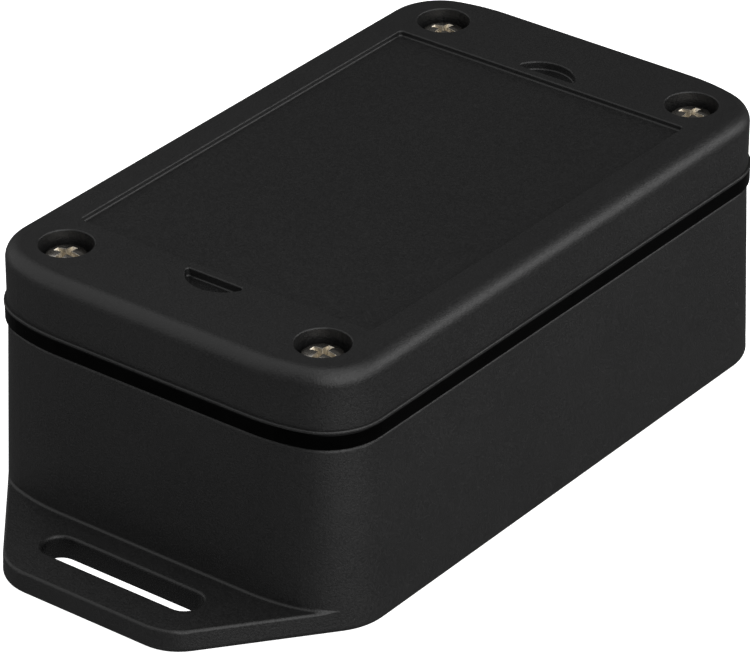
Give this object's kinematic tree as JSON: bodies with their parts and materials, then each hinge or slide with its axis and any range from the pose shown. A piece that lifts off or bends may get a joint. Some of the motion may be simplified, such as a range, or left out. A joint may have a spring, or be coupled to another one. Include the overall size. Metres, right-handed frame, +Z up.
{
  "type": "project box",
  "caption": "Small black plastic project box with a screwed lid on a soft gasket, a sunk label field and a slotted mounting flange at each end.",
  "frame": {"origin": "centre of the box's underside", "axes": "+X along the box towards one of the two flanges, +Z up through the lid"},
  "size_m": [0.1294, 0.0612, 0.0384],
  "materials": {
    "shell_plastic": "fine moulded texture",
    "gasket_rubber": "smooth",
    "screw_steel": "bright, warm nickel tint",
    "insert_brass": "turned"
  },
  "bodies": {
    "base_body": {"base": "shell_plastic", "gasket": "gasket_rubber", "insert_1": "insert_brass", "insert_2": "insert_brass", "insert_3": "insert_brass", "insert_4": "insert_brass"},
    "lid_body": {"lid": "shell_plastic"},
    "screw_1_body": {"lid_screw_1": "screw_steel"},
    "screw_2_body": {"lid_screw_2": "screw_steel"},
    "screw_3_body": {"lid_screw_3": "screw_steel"},
    "screw_4_body": {"lid_screw_4": "screw_steel"}
  },
  "joints": [
    {"name": "lid_lift", "type": "slide", "parent": "base_body", "child": "lid_body", "axis": [0, 0, 1], "range_m": [0, 0.04]},
    {"name": "screw_1_turn", "type": "hinge", "parent": "lid_body", "child": "screw_1_body", "pos_m": [-0.0413, -0.0213, 0.035], "axis": [0, 0, 1], "continuous": true},
    {"name": "screw_2_turn", "type": "hinge", "parent": "lid_body", "child": "screw_2_body", "pos_m": [0.0413, -0.0213, 0.035], "axis": [0, 0, 1], "continuous": true},
    {"name": "screw_3_turn", "type": "hinge", "parent": "lid_body", "child": "screw_3_body", "pos_m": [0.0413, 0.0213, 0.035], "axis": [0, 0, 1], "continuous": true},
    {"name": "screw_4_turn", "type": "hinge", "parent": "lid_body", "child": "screw_4_body", "pos_m": [-0.0413, 0.0213, 0.035], "axis": [0, 0, 1], "continuous": true}
  ]
}
